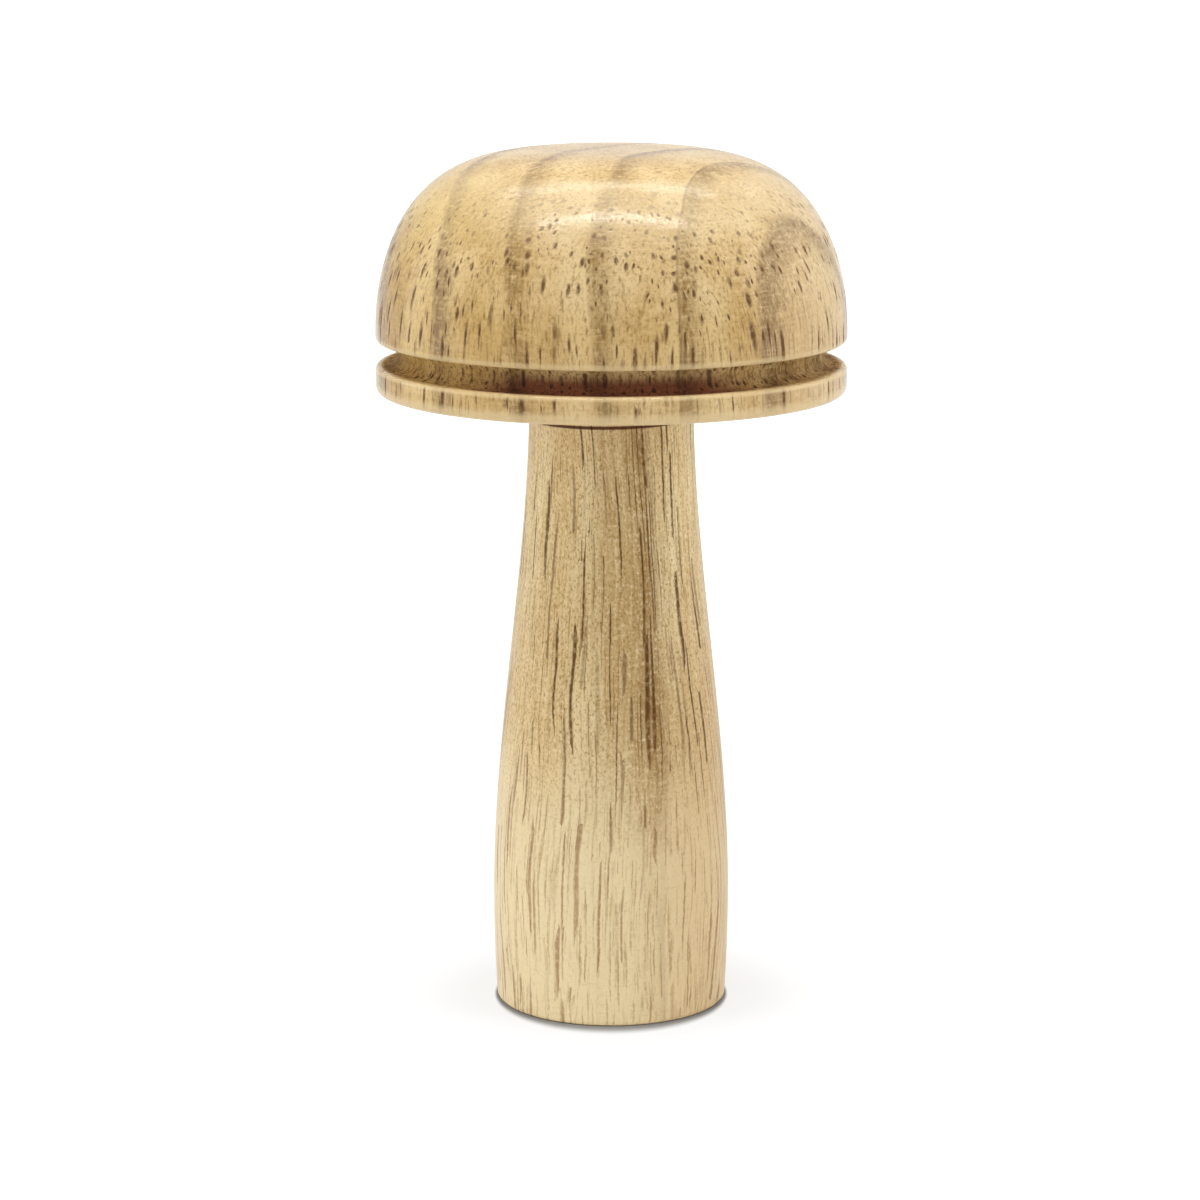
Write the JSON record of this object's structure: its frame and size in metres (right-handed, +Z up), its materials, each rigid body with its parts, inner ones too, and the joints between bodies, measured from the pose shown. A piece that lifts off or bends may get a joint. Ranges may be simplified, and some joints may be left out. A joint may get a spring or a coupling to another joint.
{
  "type": "darning mushroom",
  "caption": "Turned wooden darning mushroom: a domed head with a band groove, push-fitted on a tapered hollow handle that holds needles.",
  "frame": {"origin": "centre of the flat foot of the handle, on the surface that the object stands on", "axes": "+Z up the turning axis, from the foot through the dome; X and Y lie in the plane of the foot"},
  "size_m": [0.058, 0.058, 0.1072],
  "materials": {
    "head_wood": "satin clear lacquer over pale rubberwood, end grain on the dome",
    "handle_wood": "fine-sanded pale rubberwood with a thin satin lacquer, grain along the handle",
    "dowel_wood": "bare planed dowel"
  },
  "bodies": {
    "handle": {"handle": "handle_wood"},
    "head": {"head": "head_wood", "spigot": "dowel_wood"}
  },
  "joints": [
    {"name": "head_pull", "type": "slide", "parent": "handle", "child": "head", "axis": [0, 0, 1], "range_m": [0, 0.08]}
  ]
}
